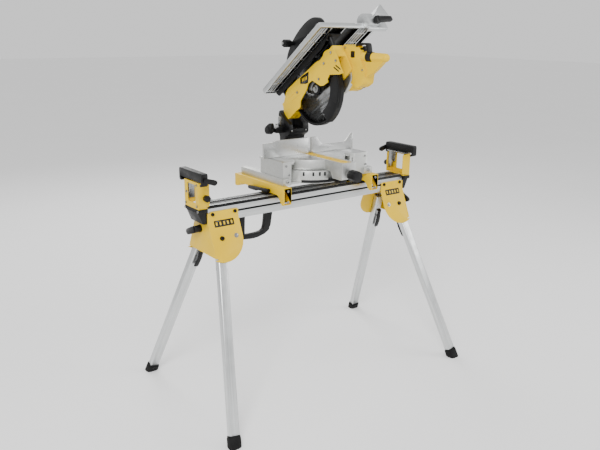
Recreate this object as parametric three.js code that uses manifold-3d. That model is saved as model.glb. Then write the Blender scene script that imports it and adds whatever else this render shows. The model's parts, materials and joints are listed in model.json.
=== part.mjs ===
// Table-top mitre saw clamped on a folding aluminium work stand. Millimetres, +Z up.
// Origin: on the floor under the middle of the beam. The beam runs along X, the operator stands at -Y.
import * as THREE from 'three';
import { mergeVertices } from 'three/addons/utils/BufferGeometryUtils.js';
import Module from 'manifold-3d';

const wasm = await Module();
wasm.setup();

// ---------------------------------------------------------------- driving dimensions
const rad = THREE.MathUtils.degToRad;
const clearance = 0.3; // between pieces that touch
const sheet = 3; // folded sheet steel

const beam = { length: 1000, width: 90, bottom: 744, top: 810, wall: 3, shoulder: 9 };

const housing = { inner: 370, outer: 500, top: 787, bend: 752, drop: 147, arc: 90 };
const splay = rad(22.8); // legs lean out to the front and back
const lean = rad(9.7); // and out along the beam
const leg = { pivotX: 460, pivotDown: 71, wide: 39, thick: 28, wall: 2, above: 22, length: 748 };
const foot = { wide: 48, thick: 38, tall: 46 };
const lever = { from: 54, to: 148, wide: 15, thick: 12, standOff: 3 };

const arm = { inner: 4, outer: 38, bottom: 753, top: 801, wall: 2, length: 915 };
const armEnd = { near: 504, far: 541, bottom: 743, top: 803, halfWidth: 58, taper: 45 };
const support = { far: 541, near: 495, halfWidth: 52, floor: 803.3, top: 903, window: [824, 893] };
const rest = { near: 518, far: 544, top: 941, under: 909.4, halfLength: 86, curl: 896 };
const stop = { pivot: [531, 918], reach: 46, thick: 9 };

const bracket = { xs: [-178, 281], wide: 36, top: 846, front: -100, back: 258, wall: 3 };

// Saw: measured from the turntable's centre, down on the brackets' tops.
const saw = { x: 40, y: 50, z: bracket.top + clearance };
const deck = 92; // height of the work surface
const base = { left: -210, right: 230, front: -107, rear: 50, low: 50, ring: 165, foot: 28 };
const table = { radius: 150, armHalf: 35, armFront: -255, bottom: 52, noseLow: 25 };
const fence = { half: 5, left: -231, right: 236, gap: 8, tall: 159, low: 153 };
const bevelPivot = deck;
const headPivot = { y: 172, z: 235.7 };

// Head: measured from the blade's centre, level as when the head is down; y to the rear, z up.
const raised = rad(36.2); // how far the head stands open
const blade = { centreY: -46, centreZ: 360.2, radius: 130, bore: 15.3, half: 1.3, teeth: 48 };
const pivot = { y: 249.4, z: 28.3 }; // the head's hinge seen from the blade
const guard = { left: -26, plate: 4, right: 26, rightIn: 17 };
const frontGuard = { radius: 150, inner: 98, half: 14, skin: 2, rim: 3.4, from: 8, to: 92 };
const lowerGuard = { radius: 146, inner: 137, half: 11.3, skin: 2, rim: 3.4, from: 86, to: 176 };
const motor = { y: -125, z: -25, radius: 57, left: 42.3, seam: 108, right: 124 };
const topTable = { left: -90, right: 196, front: -242, rear: 225, top: 138, under: 118, plate: 7 };

// ---------------------------------------------------------------- solids
const X = new THREE.Vector3(1, 0, 0);
const Y = new THREE.Vector3(0, 1, 0);
const Z = new THREE.Vector3(0, 0, 1);

/** A closed geometry as a solid that can be cut and joined. */
function solid(geometry) {
  geometry.deleteAttribute('normal');
  geometry.deleteAttribute('uv');
  const merged = mergeVertices(geometry, 1e-4);
  const triVerts = new Uint32Array(merged.index.array);
  return new wasm.Manifold(
    new wasm.Mesh({ numProp: 3, vertProperties: merged.attributes.position.array, triVerts }),
  );
}

/** A box between two values on each axis. */
function block([x0, x1], [y0, y1], [z0, z1]) {
  const box = new THREE.BoxGeometry(x1 - x0, y1 - y0, z1 - z0);
  box.translate((x0 + x1) / 2, (y0 + y1) / 2, (z0 + z1) / 2);
  return solid(box);
}

/** A cylinder between two points, or a cone when the radii differ. */
function rod(from, to, radius, endRadius = radius, sides = 18) {
  const a = new THREE.Vector3(...from);
  const b = new THREE.Vector3(...to);
  const geometry = new THREE.CylinderGeometry(endRadius, radius, a.distanceTo(b), sides);
  const turn = new THREE.Quaternion().setFromUnitVectors(Y, b.clone().sub(a).normalize());
  geometry.applyQuaternion(turn);
  geometry.translate(...a.add(b).multiplyScalar(0.5).toArray());
  return solid(geometry);
}

/** An outline of [a, b, corner radius] points as a shape with rounded corners. */
function outline(points) {
  const shape = new THREE.Shape();
  points.forEach(([a, b, radius = 0], i) => {
    const here = new THREE.Vector2(a, b);
    if (!radius) {
      shape[i ? 'lineTo' : 'moveTo'](a, b);
      return;
    }
    const before = new THREE.Vector2(...points.at(i - 1).slice(0, 2));
    const after = new THREE.Vector2(...points[(i + 1) % points.length].slice(0, 2));
    const start = here.clone().add(before.sub(here).clampLength(0, radius * 2).multiplyScalar(0.499));
    const end = here.clone().add(after.sub(here).clampLength(0, radius * 2).multiplyScalar(0.499));
    shape[i ? 'lineTo' : 'moveTo'](start.x, start.y);
    shape.quadraticCurveTo(a, b, end.x, end.y);
  });
  shape.closePath();
  return shape;
}

const frames = {
  x: new THREE.Matrix4().makeBasis(Y, Z, X), // outline in y, z
  y: new THREE.Matrix4().makeBasis(X, Z, Y.clone().negate()), // outline in x, z
  z: new THREE.Matrix4(), // outline in x, y
};

/** Extrudes an outline along an axis, between two values on that axis. */
function prism(axis, shapeOrPoints, low, high, segments = 2) {
  const shape = Array.isArray(shapeOrPoints) ? outline(shapeOrPoints) : shapeOrPoints;
  const options = { depth: high - low, bevelEnabled: false, curveSegments: segments };
  const geometry = new THREE.ExtrudeGeometry(shape, options);
  geometry.translate(0, 0, axis === 'y' ? -high : low);
  geometry.applyMatrix4(frames[axis]);
  return solid(geometry);
}

/** A rounded rectangle as outline points. */
function roundRect([a0, a1], [b0, b1], radius) {
  return [[a0, b0, radius], [a1, b0, radius], [a1, b1, radius], [a0, b1, radius]];
}

function union(...solids) {
  return solids.reduce((whole, next) => whole.add(next));
}

function cut(from, ...tools) {
  return tools.reduce((whole, tool) => whole.subtract(tool), from);
}

// ---------------------------------------------------------------- finishes
const finishes = {
  yellow: { color: 0xf2c61f, roughness: 0.45, metalness: 0 },
  black: { color: 0x1b1c1e, roughness: 0.6, metalness: 0 },
  rubber: { color: 0x17181a, roughness: 0.85, metalness: 0 },
  aluminium: { color: 0xc9cac8, roughness: 0.4, metalness: 0.9 },
  casting: { color: 0xc2c3c0, roughness: 0.5, metalness: 0.8 },
  steel: { color: 0x9c9c9a, roughness: 0.3, metalness: 1 },
};

function part(parent, name, manifold, finish) {
  const { vertProperties, triVerts } = manifold.getMesh();
  const geometry = new THREE.BufferGeometry();
  geometry.setAttribute('position', new THREE.BufferAttribute(vertProperties, 3));
  geometry.setIndex(new THREE.BufferAttribute(triVerts, 1));
  geometry.computeVertexNormals();
  const mesh = new THREE.Mesh(geometry, new THREE.MeshStandardMaterial(finishes[finish]));
  mesh.name = name;
  parent.add(mesh);
  return mesh;
}

function group(parent, name, position = [0, 0, 0], rotation = [0, 0, 0]) {
  const made = new THREE.Group();
  made.name = name;
  made.position.set(...position);
  made.rotation.set(...rotation);
  parent.add(made);
  made.updateWorldMatrix(true, false);
  return made;
}

const model = new THREE.Group();

// ---------------------------------------------------------------- beam and housings
function makeBeam() {
  const { width, bottom, top, wall, shoulder, length } = beam;
  const half = width / 2;
  const groove = 4;
  const mid = (bottom + top) / 2;
  const section = outline([
    [-half, bottom, 4], [half, bottom, 4],
    [half, mid - groove], [half - groove, mid - groove], [half - groove, mid + groove],
    [half, mid + groove], [half, top - 1, shoulder],
    [6, top - 1], [6, top - 4], [-2, top - 4], [-2, top - 1],
    [-half, top - 1, shoulder],
    [-half, mid + groove], [groove - half, mid + groove], [groove - half, mid - groove],
    [-half, mid - groove],
  ]);
  const cells = [-1, 1].map((side) => {
    const near = side * 1.5;
    const far = side * (half - groove - wall + 1);
    const points = [[near, bottom + wall], [far, bottom + wall], [far, top - 8], [near, top - 8]];
    return prism('x', side > 0 ? points : points.reverse(), -length, length);
  });
  const bars = [-38, -29, 17, 30, 38].map((y) => (
    block([-length / 2, length / 2], [y - 1.6, y + 1.6], [top - 2, top])
  ));
  const solidBeam = union(prism('x', section, -length / 2, length / 2), ...bars);
  part(model, 'beam', cut(solidBeam, ...cells), 'aluminium');
}

// The plane of a pair of legs: x along the beam, y inwards through the plate, z up the plate.
const face = beam.width / 2 + clearance;
const frontPlane = group(model, 'front_plane', [0, -face, housing.bend], [-splay, 0, 0]);
const backTurn = group(model, 'back_turn', [0, 0, 0], [0, 0, Math.PI]);
const backPlane = group(backTurn, 'back_plane', [0, -face, housing.bend], [-splay, 0, 0]);
const planes = { front: frontPlane, back: backPlane };

/** One housing at the -X end, turned or mirrored by the caller. */
function makeHousing(name, side) {
  const { inner, outer, top, bend, drop, arc } = housing;
  const skirt = new THREE.Shape();
  skirt.moveTo(-outer, 0.6);
  skirt.lineTo(-outer, -drop + 8);
  skirt.lineTo(-outer + 10, -drop);
  const low = Math.asin((drop - leg.pivotDown) / arc);
  const start = -Math.PI + low;
  skirt.lineTo(-leg.pivotX + arc * Math.cos(start), -leg.pivotDown + arc * Math.sin(start));
  skirt.absarc(-leg.pivotX, -leg.pivotDown, arc, start, 0, false);
  skirt.lineTo(-inner, 0.6);
  skirt.closePath();
  const flange = outline([
    [-outer, bend - 1], [-inner, bend - 1], [-inner - 3, top, 6], [-outer + 6, top, 6],
  ]);
  const sides = [frontPlane, backPlane].map((plane) => {
    const across = plane === backPlane ? -1 : 1;
    const plate = prism('y', skirt, -sheet, 0, 12);
    const upright = prism('y', flange, -face - sheet, -face);
    const flip = across * side < 0 ? [1, 1, 1] : [-1, 1, 1];
    const turned = plate.scale(flip).transform(plane.matrixWorld.elements);
    const holder = plane === backPlane ? backTurn.matrixWorld : model.matrixWorld;
    return union(turned, upright.scale(flip).transform(holder.elements));
  });
  const reach = drop * Math.sin(splay);
  const wide = face + sheet;
  const plateLow = bend - drop * Math.cos(splay) + 6;
  const endPlate = prism('x', [
    [-wide - reach + 2, plateLow], [wide + reach - 2, plateLow],
    [wide, bend], [wide, top - 4], [arm.outer + 2, top - 4], [arm.outer + 2, arm.bottom - 4],
    [-arm.outer - 2, arm.bottom - 4], [-arm.outer - 2, top - 4], [-wide, top - 4], [-wide, bend],
  ], side > 0 ? outer : -outer - sheet, side > 0 ? outer + sheet : -outer);
  const ends = endPlate.translate([side > 0 ? clearance : -clearance, 0, 0]);
  const strips = [-1, 1].map((across) => prism('x', [
    [across * face, bend], [across * wide, bend], [across * wide, top - 4], [across * face, top - 4],
  ], side > 0 ? outer - 8 : -outer - 2, side > 0 ? outer + 2 : -outer + 8));
  const lips = [-1, 1].map((across) => {
    const a = bend - drop * Math.cos(splay) + 9;
    const out = wide + (bend - a) * Math.tan(splay);
    const points = [
      [across * out, a], [across * wide, bend],
      [across * (wide - sheet), bend], [across * (out - sheet), a],
    ];
    return prism('x', points, side > 0 ? outer - 4 : -outer - 2, side > 0 ? outer + 2 : -outer + 4);
  });
  part(model, name, union(...sides, ends, ...strips, ...lips), 'yellow');
}

function makeCarryHandle() {
  const z = beam.bottom - clearance;
  const outer = outline([
    [-344, z], [-344, 646, 8], [-300, 641, 30], [-262, 641, 30], [-205, 660, 26], [-192, z],
  ]);
  outer.holes.push(outline([
    [-322, z - 6], [-226, z - 6], [-234, 668, 18], [-262, 661, 20], [-324, 661, 8],
  ]));
  part(model, 'carry_handle', prism('y', outer, -17, 1), 'black');
}

// ---------------------------------------------------------------- legs
/** One leg in its plane, with its foot and lock lever; `end` is -1 at the left, 1 at the right. */
function makeLeg(corner, plane, end) {
  const local = plane === backPlane ? -end : end;
  const at = [local * leg.pivotX, leg.thick / 2 + 0.5, -leg.pivotDown];
  const frame = group(plane, `leg_frame_${corner}`, at, [0, -local * lean, 0]);
  const half = [leg.wide / 2, leg.thick / 2];
  const tubeEnd = -leg.length + foot.tall - 8;
  const section = outline(roundRect([-half[0], half[0]], [-half[1], half[1]], 6));
  const bore = half.map((h) => h - leg.wall);
  section.holes.push(outline(roundRect([-bore[0], bore[0]], [-bore[1], bore[1]], 4.5)));
  part(frame, `leg_${corner}`, prism('z', section, tubeEnd, leg.above, 3), 'aluminium');

  const floor = block([-2000, 2000], [-2000, 2000], [-200, 0]);
  const toLocal = frame.matrixWorld.clone().invert();
  const cap = outline(roundRect([-foot.wide / 2, foot.wide / 2], [-foot.thick / 2, foot.thick / 2], 13));
  const shoe = union(
    prism('z', cap, -leg.length - 30, tubeEnd - clearance - 6),
    prism('z', outline(roundRect([-22, 22], [-16.5, 16.5], 9)), tubeEnd - 10, tubeEnd - clearance),
  );
  part(frame, `foot_${corner}`, cut(shoe, floor.transform(toLocal.elements)), 'rubber');

  const grip = lever.standOff + half[1];
  const pressed = group(frame, `lever_frame_${corner}`, [0, grip + lever.thick / 2, -lever.from - 10]);
  const handle = prism('x', [
    [-lever.thick / 2, 12, 3], [lever.thick / 2, 12, 3], [lever.thick / 2 + 7, -40, 10],
    [lever.thick / 2 + 3, lever.from - lever.to + 8, 6], [-1, lever.from - lever.to + 8, 3], [1, -40, 6],
  ], -lever.wide / 2, lever.wide / 2);
  part(pressed, `leg_lever_${corner}`, handle, 'black');
}

// ---------------------------------------------------------------- extension arms and work supports
/** A complete arm for the -X end, put into a holder that is turned half round for the +X end. */
function makeArm(side, holder) {
  const tubeFrom = -armEnd.near - 6;
  const tube = outline(roundRect([-arm.outer, -arm.inner], [arm.bottom, arm.top], 4));
  tube.holes.push(outline(roundRect(
    [-arm.outer + arm.wall, -arm.inner - arm.wall], [arm.bottom + arm.wall, arm.top - arm.wall], 3,
  )));
  part(holder, `arm_tube_${side}`, prism('x', tube, tubeFrom, tubeFrom + arm.length, 2), 'steel');

  const { near, far, bottom, top, halfWidth, taper } = armEnd;
  const wedge = prism('y', [
    [-near, top - 2], [-far, top - 2], [-far, top - 12], [-far + 20, bottom, 4], [-near, bottom],
  ], -taper, taper);
  const collar = prism('z', roundRect([-far, -near], [-halfWidth, halfWidth], 6), top - 13, top);
  const socket = block(
    [tubeFrom - clearance, 0],
    [-arm.outer - clearance, -arm.inner + clearance],
    [arm.bottom - clearance, arm.top + clearance],
  );
  part(holder, `arm_end_${side}`, cut(union(wedge, collar), socket), 'black');

  const knob = group(holder, `arm_lock_frame_${side}`, [-housing.outer - sheet - clearance, 10, 714]);
  const hub = rod([-clearance, 0, 0], [-24, 0, 0], 15, 12);
  const wing = prism('x', [[-4, -13, 5], [52, -34, 9], [66, -24, 9], [60, -12, 8], [6, 13, 6]], -28, -15);
  part(knob, `arm_lock_lever_${side}`, union(hub, wing), 'black');
}

function makeSupport(side, holder) {
  const { far, near, halfWidth, floor, top, window } = support;
  const web = cut(
    prism('x', roundRect([-halfWidth, halfWidth], [floor, top], 2), -far, -far + sheet),
    prism('x', roundRect([-30, 30], window, 4), -far - 1, -far + sheet + 1),
  );
  const flanges = [-halfWidth, halfWidth - sheet].map((y) => (
    prism('y', [[-far, floor], [-near, floor + 8, 5], [-near, top - 4, 5], [-far, top]], y, y + sheet)
  ));
  const bottom = block([-far, -armEnd.near], [-halfWidth, halfWidth], [floor, floor + sheet]);
  part(holder, `support_bracket_${side}`, union(web, ...flanges, bottom), 'yellow');

  const knob = group(holder, `support_knob_frame_${side}`, [-515, -halfWidth - clearance, 846]);
  const grip = union(
    rod([0, 0, 0], [0, -8, 0], 7),
    prism('y', starOutline(13.5, 11, 7), -25, -8),
  );
  part(knob, `support_knob_${side}`, grip, 'black');

  const inside = halfWidth - sheet - 1;
  const slide = union(
    block([-far + 6, -near - 2], [-56, 56], [rest.under - 3.6, rest.under - 0.4]),
    ...[-inside, inside - 2.5].map((y) => (
      block([-far + 8, -near - 8], [y, y + 2.5], [window[0] + 4, rest.under - 3])
    )),
  );
  const cross = block([-far + 8, -far + 11], [-inside, inside], [window[0] + 30, rest.under - 3]);
  const clear = block([-600, -500], [-34, 34], [0, 900]);
  part(holder, `rest_plate_${side}`, union(slide, cut(cross, clear)), 'steel');

  const h = rest.halfLength;
  const bar = outline([
    [-h, rest.top, 7], [-h, rest.curl, 6], [-h + 16, rest.curl - 4, 4], [-h + 18, rest.curl + 3, 2],
    [-h + 9, rest.curl + 8, 3], [-h + 8, rest.under], [h - 8, rest.under],
    [h - 9, rest.curl + 8, 3], [h - 18, rest.curl + 3, 2], [h - 16, rest.curl - 4, 4], [h, rest.curl, 6],
    [h, rest.top, 7],
  ].reverse());
  part(holder, `work_rest_${side}`, prism('x', bar, -rest.far, -rest.near), 'black');

  const flip = group(holder, `stop_frame_${side}`, [-stop.pivot[0], -h - clearance, stop.pivot[1]]);
  const blade0 = prism('y', [
    [-7, -7, 5], [stop.reach - 12, -22, 4], [stop.reach, -18, 8], [stop.reach, -4, 8], [7, 7, 5], [-7, 7, 5],
  ], -stop.thick, 0);
  part(flip, `length_stop_${side}`, blade0, 'black');
}

function starOutline(outer, inner, lobes) {
  const points = [];
  for (let i = 0; i < lobes * 2; i += 1) {
    const r = i % 2 ? inner : outer;
    const angle = (i * Math.PI) / lobes;
    points.push([r * Math.cos(angle), r * Math.sin(angle), 2.4]);
  }
  return points;
}

// ---------------------------------------------------------------- saw brackets
function makeBrackets() {
  const { xs, wide, top, front, back, wall } = bracket;
  const under = beam.top + 1.5;
  const profile = [
    [front, top, 3], [front, 777, 6], [front + 16, 777, 4], [-57, under, 8], [220, under, 14],
    [232, 796, 4], [back, 794, 5], [back, top, 3],
  ].reverse();
  xs.forEach((x, i) => {
    const side = i ? 'right' : 'left';
    const whole = prism('x', profile, x - wide / 2, x + wide / 2);
    const within = [x - wide / 2 + wall, x + wide / 2 - wall];
    const pocket = block(within, [front - 1, -62], [781, top - wall]);
    const channel = block(within, [-63, 215], [under - 5, top - wall - 2]);
    part(model, `saw_bracket_${side}`, cut(whole, pocket, channel), 'yellow');
    const out = i ? 1 : -1;
    const lock = group(model, `bracket_lever_frame_${side}`, [x + out * (wide / 2 + clearance), 0, 821]);
    const bar = union(
      rod([0, 0, 0], [-10, 0, 0], 7, 7, 12),
      prism('x', [
        [-10, -7, 4], [50, -7, 3], [70, -13, 4], [128, -14, 5], [130, -1, 5], [60, 4, 4], [-10, 8, 4],
      ], -18, -8),
    );
    part(lock, `bracket_lever_${side}`, out > 0 ? bar.mirror([1, 0, 0]) : bar, 'black');
  });
}

// ---------------------------------------------------------------- saw base and turntable
const sawBody = group(model, 'saw_frame', [saw.x, saw.y, saw.z]);

/** Part of a disc in the x, y plane between two angles in degrees. */
function sector(radius, from, to, low, high, inner = 0) {
  const shape = new THREE.Shape();
  shape.absarc(0, 0, radius, rad(from), rad(to), false);
  if (inner) shape.absarc(0, 0, inner, rad(to), rad(from), true);
  else shape.lineTo(0, 0);
  shape.closePath();
  return prism('z', shape, low, high, 20);
}

function makeBase() {
  const { left, right, front, rear, low, ring, foot: pad } = base;
  const feet = [[left - 6, left + 32], [right - 25, right + 23]].map((xs) => (
    block(xs, [front - 11, 188], [0, pad])
  ));
  const postSides = [[left, left + 40], [right - 85, right]];
  const posts = postSides.map((xs) => block(xs, [front, rear], [0, deck]));
  const postRooms = postSides.map(([x0, x1]) => (
    block([x0 + 6, x1 - 6], [front + 6, rear - 6], [-1, deck - 18])
  ));
  const floor = block([left - 6, right + 23], [front, 120], [0, 8]);
  const bowl = rod([0, 0, 0], [0, 0, low], ring, ring, 64);
  const shelf = prism('z', [
    [left, front], [left + 70, front], [left + 125, front + 55], [left + 125, rear], [left, rear],
  ], deck - 12, deck);
  const shelfRight = shelf.mirror([1, 0, 0]).translate([left + right, 0, 0]);
  const well = rod([0, 0, low - 38], [0, 0, deck + 1], table.radius + 1, table.radius + 1, 72);
  const bowlWell = rod([0, 0, 12], [0, 0, low + 1], ring - 22, ring - 22, 48);
  const sweep = union(
    sector(300, 225, 315, 26, deck + 1),
    ...[-45, 45].map((turn) => block([-37, 37], [-300, 0], [26, deck + 1]).rotate([0, 0, turn])),
  );
  const sides = union(...feet, ...posts, floor, shelf, shelfRight);
  const whole = cut(sides, well, cut(sweep, block([-ring, ring], [-60, 60], [0, 60])), ...postRooms);
  const behind = block([-ring - 1, ring + 1], [60, ring + 1], [8.5, low + 1]);
  const ringWall = cut(bowl, bowlWell, behind, ...postRooms);
  const hub = rod([0, 0, 6], [0, 0, low - 2], 24);
  part(sawBody, 'saw_base', union(whole, ringWall, hub), 'casting');
}

function makeFences() {
  const { half, left, right, gap, tall, low } = fence;
  const bottom = deck + 0.4;
  const leftWall = prism('y', [
    [left, bottom], [-gap, bottom], [-gap, tall, 2], [left + 50, tall, 2], [left + 50, low], [left, low, 2],
  ], -half, half);
  const rightWall = prism('y', [
    [gap, bottom], [right, bottom], [right, tall], [right - 8, tall, 3], [right - 38, 124, 16],
    [90, 123, 12], [60, 128, 12], [38, tall, 6], [gap, tall, 2],
  ], -half, half);
  const heel = block([left, right], [half - 1, half + 22], [bottom, bottom + 7]);
  part(sawBody, 'fence', union(leftWall, rightWall, heel), 'casting');
}

const turning = group(sawBody, 'mitre_frame');

function makeTurntable() {
  const { radius, armHalf, armFront, bottom, noseLow } = table;
  const disc = cut(
    rod([0, 0, bottom], [0, 0, deck], radius, radius, 72),
    cut(
      rod([0, 0, bottom - 1], [0, 0, deck - 9], radius - 9, radius - 9, 48),
      rod([0, 0, 0], [0, 0, deck], 44, 44, 32),
      block([-18, 18], [-radius, radius], [0, deck]),
      block([-radius, radius], [94, radius], [0, deck]),
    ),
    block([-radius, radius], [108, radius + 1], [0, deck + 1]),
  );
  const armBar = block([-armHalf, armHalf], [armFront, -100], [bottom, deck]);
  const nose = prism('x', [
    [armFront, noseLow, 8], [armFront + 60, noseLow, 6], [armFront + 78, 60], [armFront, 60],
  ], -armHalf, armHalf);
  const tail = block([-40, 40], [100, 108], [bottom, deck + 6]);
  const boss = rod([0, 96, deck], [0, 108, deck], 38, 38, 32);
  const slot = block([-8, 8], [-165, 50], [bottom + 8, deck + 1]);
  const plateBed = block([-22.4, 22.4], [-244, 44], [deck - 4.3, deck + 1]);
  const hollow = block([-armHalf + 6, armHalf - 6], [armFront + 8, -170], [noseLow - 1, deck - 12]);
  const whole = union(disc, armBar, nose, tail, boss);
  const spigot = rod([0, 0, bottom - 1], [0, 0, bottom + 6], 26);
  part(turning, 'turntable', cut(union(whole, spigot), slot, plateBed, hollow), 'casting');
  const kerf = cut(
    block([-22, 22], [-243.6, 43.6], [deck - 4, deck]),
    block([-2.2, 2.2], [-230, 35], [0, 200]),
  );
  part(turning, 'kerf_plate', kerf, 'yellow');

  const knobFrame = group(turning, 'mitre_knob_frame', [0, armFront - clearance, 46]);
  const knob = union(
    rod([0, 0, 0], [0, -12, 0], 8),
    prism('y', starOutline(23, 20.5, 9), -56, -12),
  );
  part(knobFrame, 'mitre_knob', knob, 'black');
  const latchFrame = group(turning, 'mitre_latch_frame', [-18, armFront + 80, noseLow - 5]);
  const latch = prism('x', [[-70, -8, 4], [6, -6, 4], [6, 4, 3], [-70, 4, 3]], -16, 16);
  part(latchFrame, 'mitre_latch', latch, 'black');
}

// ---------------------------------------------------------------- bevel arm
const tilting = group(turning, 'bevel_frame', [0, 0, bevelPivot]);

function makeBevelArm() {
  const z = (height) => height - bevelPivot;
  const y = headPivot.y;
  const column = prism('x', [
    [108.5, z(60), 6], [146, z(60), 10], [150, z(150), 10], [y + 20, z(205)], [y + 20, z(252), 16],
    [y - 14, z(256), 16], [112, z(222), 14], [78, z(206), 12], [78, z(168), 8], [108.5, z(150), 8],
  ], -44, 56);
  const round = rod([0, 108.5, 0], [0, 150, 0], 38, 38, 32);
  const lug = prism('y', [
    [-92, z(168), 6], [-15, z(168)], [-15, z(200)], [-60, z(200), 8], [-92, z(188), 6],
  ], 112, 146);
  const eyeRoom = union(
    block([-27.3, 27.3], [70, 147], [z(185), z(300)]),
    block([-3, 25], [y - 60, y + 60], [z(196), z(290)]),
    block([-60, -21], [y - 24, y + 60], [z(196), z(290)]),
  );
  const pin = rod([-24, y, z(headPivot.z)], [54, y, z(headPivot.z)], 7);
  part(tilting, 'bevel_arm', union(cut(union(column, round, lug), eyeRoom), pin), 'black');
  const clampFrame = group(tilting, 'bevel_clamp_frame', [-92.5, 129, z(182)]);
  const clampBar = union(
    rod([0, 0, 0], [-18, 0, 0], 12),
    rod([-12, 0, 0], [-34, 0, 0], 19, 16),
    prism('x', [
      [17, -4, 5], [14, 12, 6], [-14, 30, 6], [-26, 32, 7], [-34, 20, 7], [-16, -9, 4],
    ], -32, -18),
  );
  part(clampFrame, 'bevel_clamp', clampBar, 'black');
}

// ---------------------------------------------------------------- head
const bladeCentre = [0, blade.centreY, blade.centreZ - bevelPivot];
const chopping = group(tilting, 'head_frame', bladeCentre, [-raised, 0, 0]);

function makeHead() {
  const plate = outline([
    [-106, 65], [-127, 68], [-143, 76, 5], [-168, 71, 8], [-196, 50, 8], [-199, 20], [-193, -20],
    [-193, -51, 3], [-171, -43], [-141, -24, 12], [-121, -12], [-100, -21, 4], [-99, -31, 3],
    [-67, -26], [-52, -19, 4], [-19, 28, 4],
    [11, 31, 4], [34, 16, 8], [77, 6], [93, 1], [112, -20, 5], [151, -16], [197, -19, 6], [218, -14, 6],
    [219, 24, 8], [212, 46, 8], [187, 63], [160, 82, 8], [139, 87], [72, 84], [27, 79], [-35, 75], [-81, 72],
  ].reverse());
  const left = prism('x', plate, guard.left, guard.left + guard.plate);
  const inner = prism('x', [
    [-198, -40, 10], [-160, -44, 10], [-60, -46, 20], [58, -44, 20], [150, -18], [215, -16, 8], [212, 50, 12],
    [120, 76, 20], [-40, 74], [-150, 72, 10], [-198, 48, 10],
  ], guard.rightIn, guard.right);
  const rear = block([guard.left + 1, guard.right - 1], [158, 212], [-14, 58]);
  const front = block([guard.left + 1, guard.right - 1], [-196, -164], [22, 68]);
  const armEye = union(
    block([-2, 24], [200, pivot.y - 4], [4, 40]),
    rod([-2, pivot.y, pivot.z], [24, pivot.y, pivot.z], 17, 17, 24),
  );
  const holes = [
    rod([-60, pivot.y, pivot.z], [80, pivot.y, pivot.z], 7.3),
    rod([0, 0, 0], [60, 0, 0], 17.5),
    ...[-180, 186].map((y) => rod([-4, y, -60], [-4, y, 120], 10.5)),
  ];
  part(chopping, 'upper_guard', cut(union(left, inner, rear, front, armEye), ...holes), 'yellow');

  const gearRoom = { from: guard.right + clearance, wall: 38, to: motor.left - clearance };
  const gearHull = prism('x', [
    [motor.y - 60, motor.z + 20, 20], [motor.y - 56, motor.z - 40, 26],
    [motor.y + 10, motor.z - 62, 20], [20, -64, 26], [66, -30, 26],
    [66, 34, 26], [20, 66, 26], [-30, 62, 26], [motor.y - 40, motor.z + 56, 20],
  ].reverse(), gearRoom.from, gearRoom.to, 6);
  const gearWell = union(
    rod([0, 0, 0], [gearRoom.wall, 0, 0], 57, 57, 32),
    rod([0, motor.y, motor.z], [gearRoom.wall, motor.y, motor.z], 50, 50, 32),
  );
  part(chopping, 'gear_case', cut(gearHull, gearWell), 'casting');

  const spin = group(chopping, 'blade_frame');
  makeBlade(spin);

  const { y, z, radius } = motor;
  const shell = cut(
    rod([motor.left, y, z], [motor.seam, y, z], radius, radius, 40),
    rod([motor.left - 1, y, z], [motor.seam + 1, y, z], radius - 5, radius - 5, 40),
  );
  part(chopping, 'motor_housing', shell, 'yellow');
  const cap = cut(
    union(
      rod([motor.seam + clearance, y, z], [motor.right - 12, y, z], radius, radius, 40),
      rod([motor.right - 12, y, z], [motor.right, y, z], radius, radius - 14, 40),
    ),
    rod([motor.seam - 1, y, z], [motor.right - 6, y, z], radius - 18, radius - 18, 32),
  );
  part(chopping, 'motor_end_cap', cap, 'black');
  makeHandle();
  makeMovingGuards();
}

function makeBlade(spin) {
  const { radius, bore, half, teeth } = blade;
  const rim = new THREE.Shape();
  for (let i = 0; i < teeth; i += 1) {
    const at = (k) => ((i + k) * 2 * Math.PI) / teeth;
    const points = [[radius, 0], [radius - 1.5, 0.45], [radius - 8, 0.62], [radius - 6, 0.9]];
    points.forEach(([r, k], j) => {
      rim[i || j ? 'lineTo' : 'moveTo'](r * Math.cos(at(k)), r * Math.sin(at(k)));
    });
  }
  rim.closePath();
  const disc = cut(prism('x', rim, -half, half), rod([-5, 0, 0], [5, 0, 0], bore, bore, 24));
  part(spin, 'blade', disc, 'steel');
  part(spin, 'spindle', union(
    rod([-half - clearance - 1, 0, 0], [37, 0, 0], bore - 0.3, bore - 0.3, 20),
    rod([half + clearance, 0, 0], [8.6, 0, 0], 24, 24, 20),
    rod([28.5, 0, 0], [36, 0, 0], 55, 55, 32),
    rod([-half - clearance, 0, 0], [-8, 0, 0], 25, 23, 28),
    rod([-7, 0, 0], [-16, 0, 0], 10, 10, 6),
  ), 'steel');
}

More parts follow.
